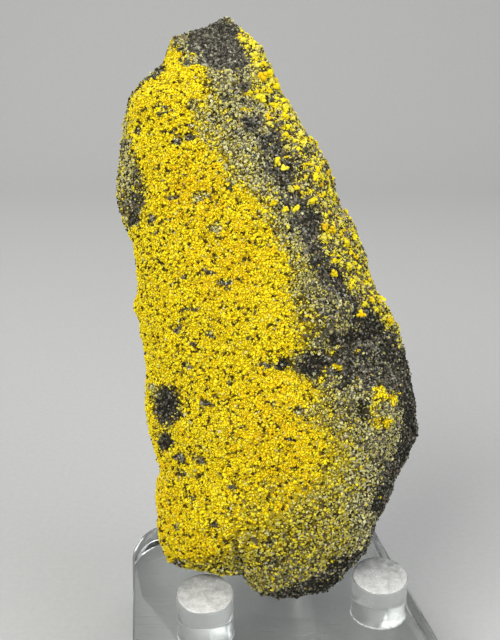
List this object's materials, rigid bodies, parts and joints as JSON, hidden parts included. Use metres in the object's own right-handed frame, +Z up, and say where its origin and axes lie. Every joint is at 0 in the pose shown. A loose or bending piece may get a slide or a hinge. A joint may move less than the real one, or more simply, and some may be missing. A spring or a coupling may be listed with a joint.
{
  "type": "zippeite with coffinite mineral specimen on a clear stand",
  "caption": "Tall dark sandstone specimen with a granular yellow zippeite crust over black coffinite, leaning back on a clear peg stand.",
  "frame": {"origin": "centre of the object's overall box, on the underside of the stand's plate", "axes": "+Z up, the stone's crusted face looks along -Y and leans back towards +Y, +X to the viewer's right"},
  "size_m": [0.0556, 0.0606, 0.1098],
  "materials": {
    "crusted_stone": "granular yellow zippeite over rough black and dark grey sandstone",
    "clear_acrylic": "clear polished acrylic with sawn, frosted peg tops"
  },
  "bodies": {
    "root": {"stone": "crusted_stone", "stand_plate": "clear_acrylic", "short_peg_left": "clear_acrylic", "short_peg_right": "clear_acrylic", "tall_peg_rear": "clear_acrylic"}
  },
  "joints": []
}
